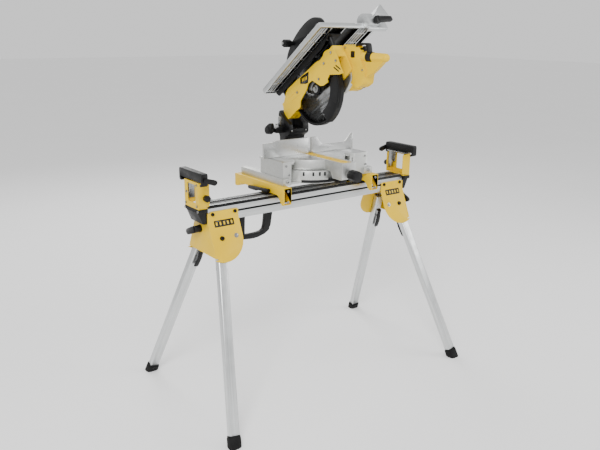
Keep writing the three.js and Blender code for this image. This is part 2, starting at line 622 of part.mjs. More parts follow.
function makeHandle() {
  const body = prism('x', [
    [-146, -3, 6], [-162, 13, 6], [-196, 66, 5], [-207, 66, 6], [-274, 2, 6], [-252, -30], [-246, -84, 10],
    [-228, -99, 10], [-216, -114, 8], [-176, -110, 12], [-150, -60, 12],
  ], 27, 80);
  const room = motor.radius + 0.6;
  const motorRoom = rod([20, motor.y, motor.z], [motor.right, motor.y, motor.z], room, room, 40);
  const tip = [45, -350, -92];
  const grip = union(
    rod([45, -250, -18], tip, 18, 15.5, 16),
    solid(new THREE.SphereGeometry(15.5, 16, 10).translate(...tip)),
    prism('x', [[-230, -20], [-345, -86, 10], [-352, -100, 8], [-277, -106, 16], [-230, -96]], 36, 54),
  );
  const loop = outline([
    [-250, 32], [-266, 31, 6], [-307, 2, 8], [-302, -14, 6], [-291, -36], [-281, -36], [-294, -8, 4],
    [-297, 1, 4], [-264, 22, 4], [-250, 20],
  ]);
  const caseRoom = prism('x', [
    [motor.y - 62, motor.z + 21, 20], [motor.y - 58, motor.z - 41, 26], [motor.y + 10, motor.z - 63.5, 20],
    [0, -70], [0, 70], [motor.y - 41, motor.z + 58, 20],
  ].reverse(), 20, motor.left, 6);
  const whole = cut(union(body, grip, prism('x', loop, 35, 56)), motorRoom, caseRoom);
  part(chopping, 'main_handle', whole, 'yellow');
  const triggerFrame = group(chopping, 'trigger_frame', [45, -276, 5]);
  const trigger = prism('x', [[-4, 3, 2], [-9, -2, 2], [-1.5, -17, 3], [4, -15, 2], [1.5, 2, 2]], -6, 6);
  part(triggerFrame, 'trigger', trigger, 'black');
}

/** An arc-shaped guard, open towards the blade: an outer rim, two cheeks and a hub ring. */
function guardShell({ radius, inner, half, skin, rim, from, to }, hub) {
  const arc = (r0, r1, a, b) => {
    const shape = new THREE.Shape();
    const turn = (degrees) => Math.PI + rad(degrees);
    shape.absarc(0, 0, r1, turn(a), turn(b), false);
    shape.absarc(0, 0, r0, turn(b), turn(a), true);
    shape.closePath();
    return shape;
  };
  const rimBand = prism('x', arc(radius - rim, radius, from, to), -half, half, 14);
  const cheek = prism('x', arc(inner, radius - 1, from, to), -half, -half + skin, 14);
  const far = prism('x', arc(24, radius - 1, from, to), half - skin, half, 14);
  const ring = rod([half - skin, 0, 0], [half, 0, 0], hub, hub, 24);
  return cut(union(rimBand, cheek, far, ring), rod([0, 0, 0], [30, 0, 0], 17, 17, 24));
}

function makeMovingGuards() {
  const first = group(chopping, 'front_guard_frame');
  part(first, 'front_guard', guardShell(frontGuard, 30), 'black');
  const second = group(chopping, 'lower_guard_frame');
  part(second, 'lower_guard', guardShell(lowerGuard, 30), 'black');
}

// ---------------------------------------------------------------- upper table
const lifting = group(chopping, 'table_frame');

function makeTopTable() {
  const { left, right, front, rear, top, under, plate } = topTable;
  const slab = prism('z', roundRect([left, right], [front, rear], 8), under, top);
  const ribAt = [left + 5, -30, 36, 108, 164, right - 5];
  const rooms = ribAt.slice(1).map((x, i) => (
    block([ribAt[i] + 2.5, x - 2.5], [front + 6, rear - 6], [under - 1, top - plate])
  ));
  const mouth = block([-8, 8], [-150, 212], [under - 1, top + 1]);
  const slots = [left + 14, left + 27].map((x) => (
    block([x - 3.5, x + 3.5], [40, 200], [under - 1, top + 1])
  ));
  const farSlots = [124, 138, 150].map((x) => (
    block([x - 3, x + 3], [-220, -60], [under - 1, top + 1])
  ));
  const groove = block([88, 102], [front - 1, rear + 1], [top - 4, top + 1]);
  part(lifting, 'saw_table', cut(slab, ...rooms, mouth, ...slots, ...farSlots, groove), 'aluminium');

  const roof = cut(
    block([-31, 34], [-205, 216], [under - 6, under - clearance]),
    block([-17, 17], [-163, 160], [under - 10, under + 10]),
    block([-6, 6], [-163, 200], [under - 10, under + 10]),
  );
  const skirts = [
    prism('x', [
      [-150, 92, 3], [205, 92, 6], [216, 112, 4], [216, under - 2], [-205, under - 2], [-205, 110, 4],
    ], -31, -28),
    block([31, 34], [-150, 205], [100, under - 2]),
  ];
  const posts = [-180, 186].map((y) => rod([-4, y, 34], [-4, y, under - clearance], 10));
  part(lifting, 'table_cover', union(roof, ...skirts, ...posts), 'black');
}

function makeRipFence() {
  const { front, rear, top } = topTable;
  const sliding = group(lifting, 'rip_fence_frame');
  const z = top + clearance;
  const profile = outline([[160, z], [160, z + 10], [205, z + 52, 4], [213, z + 52, 4], [232, z]]);
  const hollow = [[168, z + 4], [168, z + 9], [207, z + 44], [212, z + 40], [222, z + 4]];
  const room = prism('y', hollow.reverse(), front - 44, rear);
  const wall = cut(prism('y', profile, front - 48, rear - 20), room);
  const head = prism('x', [
    [front - 18, 100, 4], [front - clearance, 100], [front - clearance, z + 1], [front - 18, z + 1],
  ], 130, 232);
  const casting = prism('x', [
    [front - 30, 112, 8], [front - clearance, 112], [front - clearance, z], [front + 30, z, 3],
    [front + 30, z + 22, 14], [front + 12, z + 38, 16], [front - 20, z + 34, 16], [front - 30, z + 12, 10],
  ], 130, 180, 3);
  part(sliding, 'rip_fence', union(wall, head, casting), 'aluminium');
  const clampFrame = group(sliding, 'rip_clamp_frame', [168, front - 42, 124]);
  const clamp = union(
    rod([0, 0, -13], [0, 0, 12], 11.4, 11.4, 20),
    prism('z', [[-6, -10, 5], [50, -17, 6], [68, -16, 8], [68, 2, 8], [50, 2, 6], [0, 10.5, 5]], -9, 6),
  );
  part(clampFrame, 'rip_clamp_lever', clamp, 'black');
}

function makeKnifeAndTopGuard() {
  const knife = new THREE.Shape();
  knife.absarc(0, 0, 135, rad(-2), rad(72), false);
  knife.lineTo(46, 190);
  knife.lineTo(40, 212);
  knife.lineTo(84, 206);
  knife.quadraticCurveTo(168, 160, 176, 64);
  knife.lineTo(176, 20);
  knife.closePath();
  const knifeSolid = prism('x', knife, -1.1, 1.1, 10);
  part(chopping, 'riving_knife', cut(knifeSolid, block([-5, 5], [156, 220], [-60, 60])), 'steel');

  const swing = group(chopping, 'table_guard_frame', [0, 62, 200]);
  const side = outline([
    [-234, -36, 6], [-234, 2, 8], [-222, 24, 12], [-198, 38, 16], [-160, 47, 24], [-100, 48, 30],
    [-42, 38, 24], [10, 18, 16], [40, -6, 10], [40, -36, 6],
  ].reverse());
  const cap = prism('x', side, -11, 11, 3);
  const room = prism('x', [
    [-228, -40], [-228, 0, 6], [-218, 19, 10], [-196, 31, 14], [-158, 40, 22], [-100, 41, 28], [-44, 31, 22],
    [6, 13, 14], [34, -9, 8], [34, -40],
  ].reverse(), -8, 8, 3);
  const knob = union(
    rod([-9, -44, 27], [-30, -44, 27], 9, 9, 16),
    prism('x', starOutline(16, 13.5, 6).map(([a, b, r]) => [a - 44, b + 27, r]), -60, -28),
  );
  const knifeSlot = block([-3, 3], [0, 50], [-40, 18]);
  part(swing, 'table_guard', union(cut(cap, room, knifeSlot), knob), 'black');
}

// ---------------------------------------------------------------- assembly
makeBeam();
makeHousing('leg_housing_left', -1);
makeHousing('leg_housing_right', 1);
makeCarryHandle();
makeLeg('front_left', planes.front, -1);
makeLeg('front_right', planes.front, 1);
makeLeg('back_left', planes.back, -1);
makeLeg('back_right', planes.back, 1);
const rightEnd = group(model, 'right_end', [0, 0, 0], [0, 0, Math.PI]);
[['left', model], ['right', rightEnd]].forEach(([side, holder]) => {
  makeArm(side, holder);
  makeSupport(side, holder);
});
makeBrackets();
makeBase();
makeFences();
makeTurntable();
makeBevelArm();
makeHead();
makeTopTable();
makeRipFence();
makeKnifeAndTopGuard();

export default model;
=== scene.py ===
# %% [markdown]
# # A mitre saw on its folding stand
#
# This lesson dresses a finished CAD model of a table-top mitre saw on a folding work stand. The CAD
# parts are exact but plain: sharp edges, flat colours, no fasteners. Each real machine has small
# rounded edges, screws, springs, labels and a different surface on every kind of part, and those
# are what the cells below add. Lengths are written in millimetres and turned to metres in one place.

import json
import math

import bmesh
import bpy
from mathutils import Matrix, Vector


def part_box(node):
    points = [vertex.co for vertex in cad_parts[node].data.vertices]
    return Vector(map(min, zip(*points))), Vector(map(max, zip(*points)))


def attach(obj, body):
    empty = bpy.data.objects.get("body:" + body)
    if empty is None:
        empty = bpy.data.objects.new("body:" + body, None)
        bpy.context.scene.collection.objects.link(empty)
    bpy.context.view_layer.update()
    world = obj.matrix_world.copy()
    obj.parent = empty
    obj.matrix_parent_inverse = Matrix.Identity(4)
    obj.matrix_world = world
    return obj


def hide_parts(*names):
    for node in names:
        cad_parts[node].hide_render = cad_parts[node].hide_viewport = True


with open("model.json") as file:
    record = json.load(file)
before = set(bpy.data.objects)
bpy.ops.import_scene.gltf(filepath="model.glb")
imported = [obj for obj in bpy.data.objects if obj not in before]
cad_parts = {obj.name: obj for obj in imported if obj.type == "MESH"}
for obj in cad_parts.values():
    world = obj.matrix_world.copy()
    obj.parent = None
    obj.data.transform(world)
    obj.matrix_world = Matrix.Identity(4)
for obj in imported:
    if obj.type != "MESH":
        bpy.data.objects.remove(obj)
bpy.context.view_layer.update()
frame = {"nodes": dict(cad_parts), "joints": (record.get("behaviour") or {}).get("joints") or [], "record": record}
joints = {joint["name"]: joint for joint in frame["joints"]}
body_of_node = {n: b for b, members in frame["record"]["behaviour"]["bodies"].items() for n in members}
slot_of_node = {part["node"]: part["material_slot"] for part in frame["record"]["subparts"]}

# %% [markdown]
# ## Places to work in
#
# The saw head is stored tilted back, and the legs splay in two directions at once. It is far easier
# to build a screw or a slot in a flat frame of its own and let one matrix carry it to its place.
# The head, saw and leg frames below start at joints, so they agree with the CAD model.

# %% Millimetres, turns and frames
MM = 0.001
SPLAY, LEAN, RAISED = math.radians(22.8), math.radians(9.7), math.radians(36.2)
UP = Vector((0, 0, 1))


def shift(x, y, z):
    return Matrix.Translation(Vector((x, y, z)) * MM)


def turn(angle, axis):
    return Matrix.Rotation(angle, 4, axis)


def at_joint(name):
    return Matrix.Translation(Vector(joints[name]["pos_m"]))


WORLD = Matrix.Identity(4)
HALF_TURN = turn(math.pi, "Z")
HEAD = at_joint("spin_blade") @ turn(-RAISED, "X")
SAW = shift(*(Vector(joints["turn_mitre"]["pos_m"]) / MM))
PLANE = {"front": shift(0, -45.3, 752) @ turn(-SPLAY, "X")}
PLANE["back"] = HALF_TURN @ PLANE["front"]
LEG = {}
for row in ("front", "back"):
    for side, end in (("left", -1), ("right", 1)):
        local = end if row == "front" else -end
        tilt = PLANE[row].to_3x3().to_4x4() @ turn(-local * LEAN, "Y")
        LEG[f"{row}_{side}"] = at_joint(f"fold_{row}_{side}") @ tilt
print("head frame starts at", [round(v / MM, 1) for v in HEAD.translation], "mm")

# %% [markdown]
# ## Colour and the one node helper
#
# Colours are written as the hex values that a paint card or a screen would give. Blender's shaders
# want linear light, so one function converts them. A second small function adds any shader node with
# its settings and links, which keeps each material short enough to read at a glance.

# %% Colour and node helpers
def linear(hex_colour):
    channels = [int(hex_colour[i:i + 2], 16) / 255 for i in (1, 3, 5)]
    return (*[c / 12.92 if c <= 0.04045 else ((c + 0.055) / 1.055) ** 2.4 for c in channels], 1.0)


def add(tree, kind, inputs=None, **settings):
    made = tree.nodes.new(kind)
    for key, value in settings.items():
        setattr(made, key, value)
    for key, value in (inputs or {}).items():
        if isinstance(value, bpy.types.NodeSocket):
            tree.links.new(value, made.inputs[key])
        else:
            made.inputs[key].default_value = value
    return made


def surface(name, metallic, roughness, ior=1.5):
    """A new material with its principled shader; metals keep the shader's own index of refraction."""
    material = bpy.data.materials.new(name)
    material.use_nodes = True
    tree = material.node_tree
    shader = tree.nodes["Principled BSDF"]
    shader.inputs["Metallic"].default_value = metallic
    shader.inputs["Roughness"].default_value = roughness
    if not metallic:
        shader.inputs["IOR"].default_value = ior
    return material, tree, shader


def noise(tree, size_mm, detail=3.0, stretch=(1, 1, 1)):
    """Noise whose features are size_mm apart, longer along an axis where stretch is below one."""
    place = add(tree, "ShaderNodeTexCoord")
    scaled = add(tree, "ShaderNodeMapping", {"Vector": place.outputs["Object"], "Scale": stretch})
    return add(tree, "ShaderNodeTexNoise", {
        "Vector": scaled.outputs["Vector"], "Scale": 1 / (size_mm * MM), "Detail": detail,
    }).outputs["Fac"]


def spread(tree, value, low, high, dark=0.35, light=0.65):
    """Maps the middle of a noise to a range of values."""
    return add(tree, "ShaderNodeMapRange", {
        "Value": value, "From Min": dark, "From Max": light, "To Min": low, "To Max": high,
    }).outputs["Result"]


def tint(tree, factor, low, high):
    """Mixes two colours; each may be a fixed colour or the output of another node."""
    return add(tree, "ShaderNodeMix", {0: factor, 6: low, 7: high}, data_type="RGBA").outputs[2]


def bump(tree, shader, height, depth_mm, strength=1.0):
    raised = add(tree, "ShaderNodeBump", {"Height": height, "Distance": depth_mm * MM, "Strength": strength})
    tree.links.new(raised.outputs["Normal"], shader.inputs["Normal"])


def edge_wear(tree, reach_mm=2.5):
    """One within reach of an edge and nought on flats, broken up so that wear looks rubbed, not drawn.

    A Bevel node gives the surface direction as if the edge were round. Where that differs from the
    true direction, the point is close to an edge.
    """
    true_direction = add(tree, "ShaderNodeNewGeometry").outputs["Normal"]
    softened = add(tree, "ShaderNodeBevel", {"Radius": reach_mm * MM}, samples=4).outputs["Normal"]
    alike = add(tree, "ShaderNodeVectorMath", {0: true_direction, 1: softened}, operation="DOT_PRODUCT")
    edges = spread(tree, alike.outputs["Value"], 1, 0, 0.80, 0.97)
    patches = spread(tree, noise(tree, 11), 0, 0.8, 0.46, 0.62)
    return add(tree, "ShaderNodeMath", {0: edges, 1: patches}, operation="MULTIPLY").outputs[0]


finishes = {}
print("helpers ready")

# %% [markdown]
# ## Powder-coated steel
#
# The leg housings and brackets are pressed steel sheet sprayed with dry yellow powder and baked. The
# powder flows into a tough, slightly wavy film, so highlights are soft and a little broken, like the
# skin of an orange. The real waves are about 1.5 mm across, too fine to be seen from across a
# workshop, so they are drawn 5 mm across. Corners that get knocked show a duller, paler rub.

# %% Yellow powder coat
def powder_coated_steel(name, base, pale, rub):
    material, tree, shader = surface(name, 0.0, 0.42)
    colour = tint(tree, spread(tree, noise(tree, 120), 0, 1), linear(base), linear(pale))
    tree.links.new(tint(tree, edge_wear(tree), colour, linear(rub)), shader.inputs["Base Color"])
    tree.links.new(spread(tree, noise(tree, 30), 0.36, 0.48), shader.inputs["Roughness"])
    bump(tree, shader, noise(tree, 5, 2.0), 0.06)
    shader.inputs["Specular IOR Level"].default_value = 0.3
    return material


finishes["yellow"] = powder_coated_steel("powder_coated_steel_yellow", "#DCB400", "#E4BC00", "#E8D060")
finishes["yellow_casting"] = powder_coated_steel(
    "enamelled_magnesium_yellow", "#DFB700", "#E7BF00", "#EAD264")
finishes["black_paint"] = powder_coated_steel("enamelled_iron_black", "#070708", "#0B0B0C", "#2A2B2C")
print("three sprayed finishes")

# %% [markdown]
# ## Moulded nylon
#
# The motor shell and handle are glass-filled nylon, moulded in yellow, and the knobs, levers and guards
# are the same plastic in black. The mould is spark-eroded, which leaves a fine even grain: real pits are
# 0.2 mm, drawn here at 2 mm so that they catch some light. Hands polish the proud places over time.

# %% Glass-filled nylon and moulded rubber
def moulded(name, base, pale, roughness, grain_mm, depth_mm):
    material, tree, shader = surface(name, 0.0, roughness, ior=1.53)
    colour = tint(tree, spread(tree, noise(tree, 60), 0, 1), linear(base), linear(pale))
    tree.links.new(colour, shader.inputs["Base Color"])
    polish = spread(tree, noise(tree, 25), roughness - 0.06, roughness + 0.06)
    tree.links.new(polish, shader.inputs["Roughness"])
    bump(tree, shader, noise(tree, grain_mm, 1.0), depth_mm)
    shader.inputs["Specular IOR Level"].default_value = 0.25
    return material


finishes["yellow_plastic"] = moulded("glass_filled_nylon_yellow", "#DDB400", "#E5BC00", 0.44, 2.0, 0.05)
finishes["black"] = moulded("glass_filled_nylon_black", "#060607", "#0B0B0C", 0.46, 2.0, 0.08)
finishes["rubber"] = moulded("moulded_rubber_black", "#050505", "#0A0A0B", 0.72, 3.0, 0.12)
print("three moulded finishes")

# %% [markdown]
# ## Extruded, cast and ground metal
#
# The beam and legs are aluminium pushed through a die, which drags fine straight lines along their
# length; the alloy is left as it comes, so it is bright but not mirror-like. The saw's base is cast in
# a mould, tumbled, and machined only where work rests on it. The same helper makes both: a noise that
# is stretched along one axis gives die lines, and an even one gives the skin of a casting.

# %% Aluminium and steel
def bare_metal(name, base, pale, rough_low, rough_high, grain_mm, depth_mm, stretch=(1, 1, 1)):
    material, tree, shader = surface(name, 1.0, rough_low)
    streaks = noise(tree, grain_mm, 4.0, stretch)
    colour = tint(tree, spread(tree, streaks, 0, 1), linear(base), linear(pale))
    tree.links.new(colour, shader.inputs["Base Color"])
    tree.links.new(spread(tree, noise(tree, 40, 2.0), rough_low, rough_high), shader.inputs["Roughness"])
    bump(tree, shader, streaks, depth_mm)
    return material


LONG = 0.012
finishes["aluminium"] = bare_metal(
    "extruded_aluminium_mill_finish", "#C0C2C2", "#D2D4D4", 0.34, 0.46, 2.5, 0.03, (LONG, 1, 1))
finishes["leg_aluminium"] = bare_metal(
    "extruded_aluminium_leg_tube", "#C6C8C8", "#DADCDC", 0.34, 0.46, 2.5, 0.03, (1, 1, LONG))
finishes["casting"] = bare_metal("cast_aluminium_tumbled", "#BDBEBB", "#CFD0CD", 0.44, 0.56, 3.0, 0.10)
finishes["machined"] = bare_metal(
    "cast_aluminium_machined", "#B4B5B4", "#C8C9C8", 0.26, 0.36, 2.0, 0.02, (1, 0.03, 1))
finishes["steel"] = bare_metal("zinc_plated_steel", "#8F908F", "#A8A9A8", 0.24, 0.34, 4.0, 0.02)
print("five bare metals")

# %% [markdown]
# ## Ground blade steel
#
# A saw blade is ground on a turning table, so its scratches are rings round the bore. Rings come from
# the distance to the blade's axis: the object's own coordinates start at the bore, so the length of
# the vector across the axis is the radius, and noise along that one number is a set of rings.

# %% Blade steel and label film
def ground_blade_steel():
    material, tree, shader = surface("ground_saw_blade_steel", 1.0, 0.3)
    place = add(tree, "ShaderNodeTexCoord").outputs["Object"]
    across = add(tree, "ShaderNodeVectorMath", {0: place, 1: (0, 1, 1)}, operation="MULTIPLY").outputs[0]
    radius = add(tree, "ShaderNodeVectorMath", {0: across}, operation="LENGTH").outputs["Value"]
    rings = add(tree, "ShaderNodeTexNoise", {"W": radius, "Scale": 1 / (1.5 * MM), "Detail": 3.0},
                noise_dimensions="1D").outputs["Fac"]
    tree.links.new(tint(tree, spread(tree, rings, 0, 1), linear("#78797A"), linear("#939494")),
                   shader.inputs["Base Color"])
    tree.links.new(spread(tree, rings, 0.24, 0.4), shader.inputs["Roughness"])
    bump(tree, shader, rings, 0.02)
    return material


finishes["blade"] = ground_blade_steel()
finishes["label"] = moulded("printed_label_film_dark", "#141516", "#1B1C1D", 0.3, 6.0, 0.01)
print(len(finishes), "finishes in all")

# %% [markdown]
# ## Rounding what the CAD leaves sharp
#
# No pressed, cast or moulded part has a knife edge: the light catches a thin bright line along each one.
# The helper below copies a CAD part, joins its flat triangles back into whole faces and bevels every
# edge that turns by more than 35 degrees. The copy then stands in for the CAD part in the picture.

# %% Copy a CAD part with rounded edges
SHARP = math.radians(35)
pieces_made = []


def show(name, mesh, finish_names, body, place=WORLD, bevel_mm=0.8, segments=2):
    """Links a mesh as a piece whose own axes are those of place, with a bevel and its finishes."""
    piece = bpy.data.objects.new(name, mesh)
    bpy.context.scene.collection.objects.link(piece)
    mesh.transform(place.inverted())
    piece.matrix_world = place
    for finish_name in finish_names:
        mesh.materials.append(finishes[finish_name])
    mesh.polygons.foreach_set("use_smooth", [True] * len(mesh.polygons))
    if bevel_mm:
        bevel = piece.modifiers.new("rounded_edges", "BEVEL")
        bevel.width = bevel_mm * MM
        bevel.segments = segments
        bevel.limit_method = "ANGLE"
        bevel.angle_limit = SHARP
        bevel.harden_normals = True
        bevel.use_clamp_overlap = True
    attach(piece, body)
    pieces_made.append(name)
    return piece


def dress(node, finish=None, bevel_mm=0.8, place=WORLD, choose=None, extra=(), segments=2):
    """A rounded copy of a CAD part. choose(centre, normal) gives the index of a face's finish."""
    shape = bmesh.new()
    shape.from_mesh(frame["nodes"][node].data)
    bmesh.ops.remove_doubles(shape, verts=shape.verts, dist=0.00002)
    bmesh.ops.dissolve_limit(shape, angle_limit=math.radians(0.6), verts=shape.verts, edges=shape.edges)
    if choose:
        inverse = place.inverted()
        for face in shape.faces:
            centre = inverse @ face.calc_center_median() / MM
            normal = inverse.to_3x3() @ face.normal
            face.material_index = choose(centre, normal)
    mesh = bpy.data.meshes.new(node + "_shown")
    shape.to_mesh(mesh)
    shape.free()
    slot = slot_of_node[node]
    names = [finish or slot, *extra]
    piece = show(node + "_shown", mesh, names, body_of_node[node], place, bevel_mm, segments)
    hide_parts(node)
    return piece


print("dress() is ready")

# %% [markdown]
# ## Small shapes built from scratch
#
# Screws, springs, washers and labels are too small to be CAD parts, so they are made here. A turned
# part is a profile swept round an axis, a stamped part is an outline with thickness, and a spring is a
# wire along a helix. Each helper returns loose geometry; several are joined into one piece per group.

# %% Turned, stamped and coiled shapes
def turned(profile, start, along, sides=24):
    """A profile of (distance along the axis, radius) pairs, swept round a line; in mm."""
    shape = bmesh.new()
    rings = []
    for distance, radius in profile:
        ring = [
            shape.verts.new((radius * math.cos(a) * MM, radius * math.sin(a) * MM, distance * MM))
            for a in (2 * math.pi * i / sides for i in range(sides))
        ]
        rings.append(ring)
    for lower, upper in zip(rings, rings[1:]):
        for i in range(sides):
            j = (i + 1) % sides
            shape.faces.new((lower[i], lower[j], upper[j], upper[i]))
    shape.faces.new(rings[0][::-1])
    shape.faces.new(rings[-1])
    aim = UP.rotation_difference(Vector(along)).to_matrix().to_4x4()
    bmesh.ops.transform(shape, matrix=shift(*start) @ aim, verts=shape.verts)
    return shape


def stamped(outline, axis, low, high):
    """An outline in the two axes across `axis`, given thickness from low to high; in mm."""
    order = {
        "x": lambda a, b, c: (c, a, b),
        "y": lambda a, b, c: (a, c, b),
        "z": lambda a, b, c: (a, b, c),
    }[axis]
    shape = bmesh.new()
    bottom, top = [[shape.verts.new(Vector(order(a, b, c)) * MM) for a, b in outline] for c in (low, high)]
    count = len(outline)
    for i in range(count):
        j = (i + 1) % count
        shape.faces.new((bottom[i], bottom[j], top[j], top[i]))
    shape.faces.new(bottom[::-1])
    shape.faces.new(top)
    bmesh.ops.recalc_face_normals(shape, faces=shape.faces)
    return shape


def slab(x, y, z):
    return stamped([(x[0], y[0]), (x[1], y[0]), (x[1], y[1]), (x[0], y[1])], "z", *z)


def rounded(a, b, radius, steps=4):
    """The outline of a rectangle with rounded corners."""
    points = []
    for (ca, cb), first in (((a[1], b[0]), -90), ((a[1], b[1]), 0), ((a[0], b[1]), 90), ((a[0], b[0]), 180)):
        inward = (math.copysign(radius, a[0] + a[1] - 2 * ca), math.copysign(radius, b[0] + b[1] - 2 * cb))
        for k in range(steps + 1):
            angle = math.radians(first + 90 * k / steps)
            across, up = radius * math.cos(angle), radius * math.sin(angle)
            points.append((ca + inward[0] + across, cb + inward[1] + up))
    return points


def coil(start, along, radius, wire, length, turns, sides=8, steps=16):
    """A wire spring; in mm."""
    shape = bmesh.new()
    rings = []
    for k in range(int(turns * steps) + 1):
        angle = 2 * math.pi * k / steps
        out = Vector((math.cos(angle), math.sin(angle), 0))
        centre = out * radius + UP * (length * k / (turns * steps))
        rings.append([
            shape.verts.new((centre + out * wire * math.cos(s) + UP * wire * math.sin(s)) * MM)
            for s in (2 * math.pi * i / sides for i in range(sides))
        ])
    for lower, upper in zip(rings, rings[1:]):
        for i in range(sides):
            j = (i + 1) % sides
            shape.faces.new((lower[i], upper[i], upper[j], lower[j]))
    shape.faces.new(rings[0])
    shape.faces.new(rings[-1][::-1])
    aim = UP.rotation_difference(Vector(along)).to_matrix().to_4x4()
    bmesh.ops.transform(shape, matrix=shift(*start) @ aim, verts=shape.verts)
    return shape


def build(name, shapes, finish, body, place=WORLD, bevel_mm=0.3, slot=None):
    """Joins loose shapes, given in place's own axes, into one piece."""
    mesh = bpy.data.meshes.new(name)
    whole = bmesh.new()
    for shape in shapes:
        part = bpy.data.meshes.new("part")
        bmesh.ops.recalc_face_normals(shape, faces=shape.faces)
        shape.to_mesh(part)
        shape.free()
        whole.from_mesh(part)
        bpy.data.meshes.remove(part)
    whole.to_mesh(mesh)
    whole.free()
    mesh.transform(place)
    piece = show(name, mesh, [finish], body, place, bevel_mm)
    return piece if slot else piece


def cap_screw(at, along, radius, height=None):
    """A round head with a round socket sunk in it: a ring of metal round a dark floor."""
    height = height or radius * 0.9
    inner = radius * 0.5
    return turned([(0, radius), (height * 0.85, radius), (height, radius * 0.86), (height, inner),
                   (height * 0.35, inner * 0.95), (height * 0.34, 0.02)], at, along, 18)


def washer(at, along, radius, thickness=1.2):
    return turned([(0, radius), (thickness, radius)], at, along, 24)


print("shape helpers ready")

# %% [markdown]
# ## The stand
#
# One hollow beam carries everything. Each end wears a folded yellow housing that the legs swing in, and
# a support that slides out of the beam to hold up long timber. The CAD parts already have the right
# shapes, so most only need rounded edges and the right finish; the beam and legs get the die lines of
# extruded aluminium, which run along each part's own length.

# %% Dress the stand
BEAM_LOW, BEAM_HIGH = (corner / MM for corner in (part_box("beam")[0][2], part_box("beam")[1][2]))
BEAM_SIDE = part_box("beam")[1][1] / MM


def groove_painted_shade(centre, normal):
    """The floors and walls of the beam's grooves, painted black as painted shade in the recesses."""
    inside = abs(centre.y) < BEAM_SIDE - 0.5 and BEAM_LOW + 5 < centre.z < BEAM_HIGH - 0.5
    return int(inside and abs(normal.x) < 0.5)


# The grooves' floors and walls take the black finish: painted shade, not a colour of the aluminium.
dress("beam", choose=groove_painted_shade, extra=("black",), place=WORLD, bevel_mm=0.6)
for node in ("leg_housing_left", "leg_housing_right", "carry_handle"):
    dress(node, bevel_mm=1.2)
for corner, place in LEG.items():
    dress(f"leg_{corner}", "leg_aluminium", place=place, bevel_mm=0.6)
    dress(f"foot_{corner}", bevel_mm=1.0)
    dress(f"leg_lever_{corner}", place=place, bevel_mm=1.5)
for side in ("left", "right"):
    for node in ("arm_tube", "arm_end", "arm_lock_lever", "support_bracket", "support_knob",
                 "rest_plate", "work_rest", "length_stop"):
        bevel = 2.0 if node in ("arm_end", "arm_lock_lever", "work_rest", "length_stop") else 0.8
        dress(f"{node}_{side}", bevel_mm=bevel)
print(len(pieces_made), "parts dressed")

# %% [markdown]
# ## Screws, pivots and labels of the housings
#
# Each sloping plate is screwed to the beam near its corners, carries the leg on one bolt, and has a hole
# where the leg's lock pin drops in. Between the screws is a dark label that carries five plain bars
# and no lettering. All of it repeats on four plates, so it is built once in the plate's own frame: x along
# the beam, y through the plate and z up its slope.

# %% Fasteners on the four plates
FLANGE = {"front": shift(0, -48.3, 0), "back": HALF_TURN @ shift(0, -48.3, 0)}
for row in ("front", "back"):
    for side, end in (("left", -1), ("right", 1)):
        s = end if row == "front" else -end
        corner = f"{row}_{side}"
        build(f"housing_screws_{corner}",
              [cap_screw((s * x, 0, 778), (0, -1, 0), 6.5) for x in (483, 387)],
              "steel" if row == "back" else "black", "stand", FLANGE[row])
        build(f"pivot_bolt_{corner}",
              [washer((s * 460, -3, -71), (0, -1, 0), 9), cap_screw((s * 460, -4, -71), (0, -1, 0), 7.5)],
              "black", "stand", PLANE[row])
        build(f"lock_pin_{corner}",
              [turned([(0, 9), (1.5, 9), (1.5, 6), (4, 5.4), (4.6, 3)], (s * 398, -3, -69), (0, -1, 0))],
              "steel", "stand", PLANE[row])
        label = rounded((s * 437 - 42, s * 437 + 42), (-27, -2), 3)
        build(f"housing_label_{corner}", [stamped(label, "y", -3.5, -2.95)], "label", "stand", PLANE[row], 0)
        bars = [slab((s * 437 + x - 3.5, s * 437 + x + 3.5), (-3.8, -3.4), (-21, -8))
                for x in range(-32, 33, 16)]
        build(f"housing_label_bars_{corner}", bars, "yellow", "stand", PLANE[row], 0)
print("plates fitted out")

# %% [markdown]
# ## Leg levers and support fittings
#
# A leg locks with a sprung black lever that turns on a pin in two small ears. The support's upright
# carries screws that clamp its plate. These are small, but from close by a leg with no bracket for its
# lever would look like a stick with tape on it.

# %% Fittings on the legs and the supports
for corner, place in LEG.items():
    ears = [slab((x - 1, x + 1), (13.9, 27), (-72, -52)) for x in (-10.5, 10.5)]
    pin = turned([(0, 3), (24, 3)], (-12, 22, -64), (1, 0, 0), 12)
    build(f"lever_bracket_{corner}", [*ears, pin], "steel", f"leg_{corner}", place, 0.2)
for side, place in (("left", WORLD), ("right", HALF_TURN)):
    heads = [cap_screw((-541, y, z), (-1, 0, 0), 4.5)
             for y, z in ((-42, 815), (42, 815), (34, 858), (-42, 893))]
    build(f"support_screws_{side}", heads, "steel", f"arm_{side}", place)
    slide = [cap_screw((-531, y, 909), (0, 0, 1), 4, 1.2) for y in (-46, 46)]
    build(f"rest_plate_screws_{side}", slide, "steel", f"work_rest_{side}", place)
    build(f"arm_end_rivets_{side}", [cap_screw((-541, y, 796), (-1, 0, 0), 4.5) for y in (-48, 48)],
          "steel", f"arm_{side}", place)
print("legs and supports fitted out")

# %% [markdown]
# ## Brackets, base and turntable
#
# Two pressed brackets clip over the beam and carry the saw. The saw's base is one casting whose front
# is an arc with the mitre stops in it. The turntable inside it is the same alloy, but its top, and the
# tops of the base, are machined flat for timber to slide on, so those faces are smoother and brighter.

# %% Dress the base
DECK_Z = (SAW.translation.z / MM) + 92


def machined_on_top(centre, normal):
    return int(normal.z > 0.9 and abs(centre.z - DECK_Z) < 1.5)


